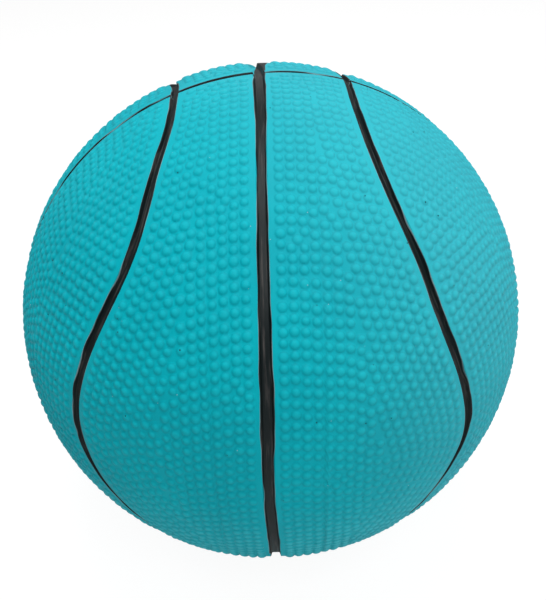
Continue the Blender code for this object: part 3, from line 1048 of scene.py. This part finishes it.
# Scale, size and share of the spots
SPECKS = (230.0, 0.035, 0.4)
PITS = (190.0, 0.055, 0.7)
LATEX_SCALES = (2400.0, 40.0)
GRAIN_RANGE = (0.2, 0.8)
LATEX_ROUGHNESS = (0.52, 0.66)
LATEX_BUMP = 0.03 * MM
LATEX_SPECULAR = 0.10


def vector_sum(tree, operation, *vectors):
    return node(tree, "ShaderNodeVectorMath", dict(enumerate(vectors)), operation=operation)


def facing(tree, outward, way, low, high):
    """0 where a surface points away from a way, and 1 where it points along it."""
    along = vector_sum(tree, "DOT_PRODUCT", outward, way).outputs["Value"]
    return ramped(tree, along, low, high)


def latex_colour(tree, place, clouds, pits):
    """The colour of the latex, one effect over the other."""
    rise = attribute(tree, "rise")
    outward = vector_sum(tree, "SUBTRACT", place, tuple(CENTRE)).outputs[0]
    outward = vector_sum(tree, "NORMALIZE", outward).outputs[0]
    # Paler tops are wear and a painted highlight; darker flanks are painted shade
    tops = ramped(tree, rise, *TOP_RANGE)
    flanks = product(tree, ramped(tree, rise, *FLANK_START), ramped(tree, rise, *FLANK_END, 1.0, 0.0))
    # Dust and a painted floor reflection on the underside
    dust_and_reflection = facing(tree, outward, DUST_AND_REFLECTION_WAY, *DUST_AND_REFLECTION_RANGE)
    layers = (
        (product(tree, tops, TOP_SHARE), LATEX_WORN_HIGHLIGHT, "MIX"),
        (product(tree, flanks, FLANK_SHARE), LATEX_FLANK_SHADE, "MIX"),
        # A painted sheen towards the right and the back
        (facing(tree, outward, SHEEN_WAY, *SHEEN_RANGE), LATEX_PAINTED_SHEEN, "ADD"),
        (product(tree, dust_and_reflection, ramped(tree, rise, *DUST_AND_REFLECTION_RISE, *DUST_AND_REFLECTION_SHARES)), LATEX_DUST_AND_REFLECTION, "ADD"),
        (product(tree, spots(tree, place, *SPECKS), SPECK_SHARE), SPECK_COLOUR, "MIX"),
        (pits, PIT_COLOUR, "MIX"),
    )
    colour = mixed(tree, ramped(tree, clouds, *CLOUD_RANGE), LATEX_DEEP, LATEX_PALE)
    for share, tint, blend in layers:
        colour = mixed(tree, share, colour, tint, blend)
    return colour


def latex():
    made, tree, shader = new_material("turquoise_latex")
    place = object_place(tree)
    marks = grain(tree, place, *LATEX_SCALES)
    pits = spots(tree, place, *PITS)
    colour = latex_colour(tree, place, marks["Clouds"], pits)
    roughness = ramped(tree, marks["Grain"], *GRAIN_RANGE, *LATEX_ROUGHNESS)
    height = calculated(tree, "SUBTRACT", marks["Grain"], product(tree, pits, PIT_DEPTH))
    surface(tree, shader, colour, roughness, height, LATEX_BUMP)
    shader.inputs["Specular IOR Level"].default_value = LATEX_SPECULAR
    return made


LATEX = latex()
for piece in panels + [base]:
    piece.data.materials.append(LATEX)
print("latex on", len(panels) + 1, "pieces")

# %% [markdown]
# ## Black paint
# The paint is a satin black that dried in brush marks. Where the brush ran dry it is thin and
# brownish, and these lighter streaks also stand in for a painted sheen. Its edges wear to a pale line
# that is also a painted highlight on the lips. Marks laid out in the room would run the same way all
# over the ball, so the pattern reads the stroke's own lengthwise and crosswise places.

# %% Black paint
PAINT_BLACK = (0.0070, 0.0125, 0.0135, 1)
# Brownish dry-brush streaks, which also stand in for a painted sheen
PAINT_DRY_SHEEN = (0.070, 0.066, 0.064, 1)
# A pale line at the paint's edges: wear and a painted highlight on the lips
PAINT_WORN_HIGHLIGHT = (0.24, 0.38, 0.41, 1)
MARK_LENGTH = 14.0 * MM
MARKS_ACROSS = 2.6
BRUSH_NOISE = {"Scale": 1.0, "Detail": 4.0, "Roughness": 0.6}
DRY_SHEEN_RANGE = (0.50, 0.72)
WORN_HIGHLIGHT_EDGE = (0.83, 0.91)
WORN_HIGHLIGHT_MARKS = (0.30, 0.60)
SHINE_RANGE = (0.35, 0.7)
PAINT_ROUGHNESS = (0.40, 0.56)
PAINT_BUMP = 0.10 * MM
PAINT_BUMP_STRENGTH = 0.8
PAINT_SPECULAR = 0.20


def black_paint():
    made, tree, shader = new_material("brushed_black_paint")
    across = attribute(tree, "across")
    lengthwise = calculated(tree, "DIVIDE", attribute(tree, "along"), MARK_LENGTH)
    crosswise = product(tree, across, MARKS_ACROSS)
    strip = node(tree, "ShaderNodeCombineXYZ", {"X": lengthwise, "Y": crosswise}).outputs["Vector"]
    marks = node(tree, "ShaderNodeTexNoise", {"Vector": strip, **BRUSH_NOISE}).outputs["Fac"]
    edge = calculated(tree, "ABSOLUTE", across)
    # Pale edges: wear and a painted highlight
    worn_highlight = product(tree, ramped(tree, edge, *WORN_HIGHLIGHT_EDGE), ramped(tree, marks, *WORN_HIGHLIGHT_MARKS))
    # Dry streaks that are also a painted sheen
    film = mixed(tree, ramped(tree, marks, *DRY_SHEEN_RANGE), PAINT_BLACK, PAINT_DRY_SHEEN)
    colour = mixed(tree, worn_highlight, film, PAINT_WORN_HIGHLIGHT)
    roughness = ramped(tree, marks, *SHINE_RANGE, *PAINT_ROUGHNESS)
    surface(tree, shader, colour, roughness, marks, PAINT_BUMP, PAINT_BUMP_STRENGTH)
    shader.inputs["Specular IOR Level"].default_value = PAINT_SPECULAR
    return made


PAINT = black_paint()
for painted in strokes:
    painted.data.materials.append(PAINT)
print("paint on", len(strokes), "strokes")

# %% [markdown]
# ## Fibre and plastics
# These are inside, and only the flange shows. Plain colours would do, but a grain tells the
# materials apart. Fibre is dull and hairy, so its noise is pulled out along one way. The squeaker is
# moulded plastic in different whites, and the reed is a thin glossy film.

# %% Fibre and plastics
FIBRE_SHADES = ((0.70, 0.70, 0.67, 1), (0.86, 0.86, 0.84, 1))
FIBRE_PULL = (1.0, 1.0, 0.12)
FIBRE_SCALES = (900.0, 60.0)
FIBRE_ROUGHNESS = (0.85, 1.0)
FIBRE_BUMP = 0.8 * MM
PLASTIC_SCALES = (3000.0, 180.0)
PLASTIC_SPREAD = 0.15
PLASTIC_BUMP = 0.01 * MM
# The name of a material, its darker and its paler shade, and its lowest roughness
HOUSING_PLASTIC = ("white_plastic", (0.72, 0.72, 0.69), (0.80, 0.80, 0.78), 0.32)
CARRIED = {
    "squeaker_cap": ("cap_plastic", (0.68, 0.68, 0.66), (0.75, 0.75, 0.73), 0.35),
    "reed_pipe": ("pipe_plastic", (0.55, 0.57, 0.58), (0.63, 0.65, 0.66), 0.30),
    "reed_wedge": ("wedge_plastic", (0.50, 0.51, 0.52), (0.58, 0.59, 0.60), 0.35),
    "squeaker_reed": ("reed_film", (0.72, 0.71, 0.62), (0.78, 0.77, 0.69), 0.18),
}


def fibre():
    """Dull fibre that is pulled out upwards."""
    made, tree, shader = new_material("white_fibre")
    pulled = node(tree, "ShaderNodeMapping", {"Vector": object_place(tree), "Scale": FIBRE_PULL})
    marks = grain(tree, pulled.outputs[0], *FIBRE_SCALES)
    colour = mixed(tree, marks["Clouds"], *FIBRE_SHADES)
    roughness = ramped(tree, marks["Grain"], *GRAIN_RANGE, *FIBRE_ROUGHNESS)
    surface(tree, shader, colour, roughness, marks["Grain"], FIBRE_BUMP)
    return made


def moulded(name, dark, pale, smooth):
    """Moulded plastic between two shades; smooth is its lowest roughness."""
    made, tree, shader = new_material(name)
    marks = grain(tree, object_place(tree), *PLASTIC_SCALES)
    colour = mixed(tree, ramped(tree, marks["Clouds"], *CLOUD_RANGE), (*dark, 1), (*pale, 1))
    roughness = ramped(tree, marks["Grain"], *GRAIN_RANGE, smooth, smooth + PLASTIC_SPREAD)
    surface(tree, shader, colour, roughness, marks["Grain"], PLASTIC_BUMP)
    return made


filling.data.materials.append(fibre())
housing.data.materials.append(moulded(*HOUSING_PLASTIC))
for name, finish in CARRIED.items():
    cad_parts[name].data.materials.clear()
    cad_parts[name].data.materials.append(moulded(*finish))
print("carried over with a new finish:", ", ".join(CARRIED))

# %% [markdown]
# ## Room and lamps
# The light is soft, most of it from above and from the front. A picture of a real room could give
# that, but lamps can be set one by one: six square ones face the ball, and a dim even room fills the
# shadows. The camera sees the room as white.

# %% Room and lamps
ROOM_LIGHT = 0.13
WHITE = (1, 1, 1, 1)
# Turn in degrees from the front to the right, rise in degrees from level, and power in watts
LAMPS = (
    ("top", 0, 88, 4.15),
    ("front", 10, 47, 3.3),
    ("right", 90, 8, 1.4),
    ("behind_right", 120, 35, 1.6),
    ("behind", 180, 30, 0.5),
    ("behind_left", -120, 35, 1.5),
)
LAMP_DISTANCE = 0.9
LAMP_SIZE = 0.4


def outward_way(turn, rise):
    """The way from the centre at a turn from the front to the right and a rise from level."""
    level = math.cos(rise)
    return Vector((math.sin(turn) * level, -math.cos(turn) * level, math.sin(rise)))


def room():
    """An even room that is dim but for the camera."""
    world = bpy.data.worlds.new("room")
    bpy.context.scene.world = world
    world.use_nodes = True
    tree = world.node_tree
    seen = node(tree, "ShaderNodeLightPath").outputs["Is Camera Ray"]
    tree.nodes["Background"].inputs["Color"].default_value = WHITE
    strength = ramped(tree, seen, 0.0, 1.0, ROOM_LIGHT, 1.0)
    tree.links.new(strength, tree.nodes["Background"].inputs["Strength"])


def lamp(name, turn, rise, power):
    """A square lamp that faces the ball."""
    data = bpy.data.lights.new(name, "AREA")
    data.energy = power
    data.size = LAMP_SIZE
    made = linked(name, data)
    way = outward_way(math.radians(turn), math.radians(rise))
    made.location = Vector(CENTRE) + way * LAMP_DISTANCE
    made.rotation_euler = way.to_track_quat("Z", "Y").to_euler()


room()
for settings in LAMPS:
    lamp(*settings)
print("lamps:", ", ".join(settings[0] for settings in LAMPS))

# %% [markdown]
# ## Floor
# The ball stands on a plain pale floor, close to white in the picture. More light would do that, but
# it would bleach the ball too, so for the camera the floor also glows by itself, and only a faint
# shadow shows.

# %% Floor
FLOOR_SIZE = 4.0
FLOOR_DROP = 0.05 * MM
FLOOR_SHADE = (0.69, 0.69, 0.69, 1)
FLOOR_CLOUD = (0.6762, 0.6762, 0.6762, 1)
FLOOR_SCALES = (400.0, 3.0)
FLOOR_ROUGHNESS = 0.9
FLOOR_GLOW = 0.93
FLOOR_SHADOW = (0.12, 0.12, 0.12, 1)


def floor_material():
    """A matt pale floor; for the camera most of it is glow and the rest is lit."""
    made, tree, shader = new_material("pale_floor")
    clouds = grain(tree, object_place(tree), *FLOOR_SCALES)["Clouds"]
    shade = mixed(tree, clouds, FLOOR_SHADE, FLOOR_CLOUD)
    tree.links.new(shade, shader.inputs["Base Color"])
    shader.inputs["Roughness"].default_value = FLOOR_ROUGHNESS
    shader.inputs["Specular IOR Level"].default_value = 0.0
    glow = node(tree, "ShaderNodeEmission", {"Strength": FLOOR_GLOW})
    lit = node(tree, "ShaderNodeBsdfDiffuse", {"Color": FLOOR_SHADOW})
    pictured = node(tree, "ShaderNodeAddShader", {0: glow.outputs[0], 1: lit.outputs[0]})
    seen = node(tree, "ShaderNodeLightPath").outputs["Is Camera Ray"]
    both = node(tree, "ShaderNodeMixShader", {0: seen, 1: shader.outputs[0], 2: pictured.outputs[0]})
    tree.links.new(both.outputs[0], tree.nodes["Material Output"].inputs["Surface"])
    return made


def floor():
    bm = bmesh.new()
    bmesh.ops.create_grid(bm, x_segments=1, y_segments=1, size=FLOOR_SIZE)
    bmesh.ops.translate(bm, verts=bm.verts, vec=(0, 0, -FLOOR_DROP))
    made = piece_of("floor", bm)
    made.data.materials.append(floor_material())


floor()
print("floor size:", FLOOR_SIZE)

# %% [markdown]
# ## Camera
# The outline of a ball says where the camera points, and the way the grooves bend says how near it
# stands: three and a half times the ball's radius from its centre, about thirty degrees up. A longer
# lens from further off would bend them less.

# %% Camera
IMAGE_WIDTH = 546
IMAGE_HEIGHT = 600
VIEW_TURN = math.radians(1.26)
VIEW_RISE = math.radians(30.95)
VIEW_ROLL = math.radians(-2.22)
VIEW_DISTANCE = 262.5 * MM
LENS = 50.1
BALL_PIXEL_X = 270.6
BALL_PIXEL_Y = 309.6
NEAREST_SEEN = 10.0 * MM


def camera():
    """The camera, shifted so that the ball's centre lies on its pixel."""
    data = bpy.data.cameras.new("camera")
    made = linked("camera", data)
    back = outward_way(VIEW_TURN, VIEW_RISE)
    right = Vector((0, 0, 1)).cross(back).normalized()
    level = Matrix((right, back.cross(right), back)).transposed()
    turned = level @ Matrix.Rotation(VIEW_ROLL, 3, "Z")
    made.matrix_world = Matrix.Translation(Vector(CENTRE) + back * VIEW_DISTANCE) @ turned.to_4x4()
    data.lens = LENS
    data.shift_x = (IMAGE_WIDTH / 2 - BALL_PIXEL_X) / IMAGE_HEIGHT
    data.shift_y = (BALL_PIXEL_Y - IMAGE_HEIGHT / 2) / IMAGE_HEIGHT
    data.clip_start = NEAREST_SEEN
    bpy.context.scene.camera = made
    return made


bpy.context.scene.view_settings.view_transform = "Standard"
print("camera at:", tuple(round(x, 3) for x in camera().location))
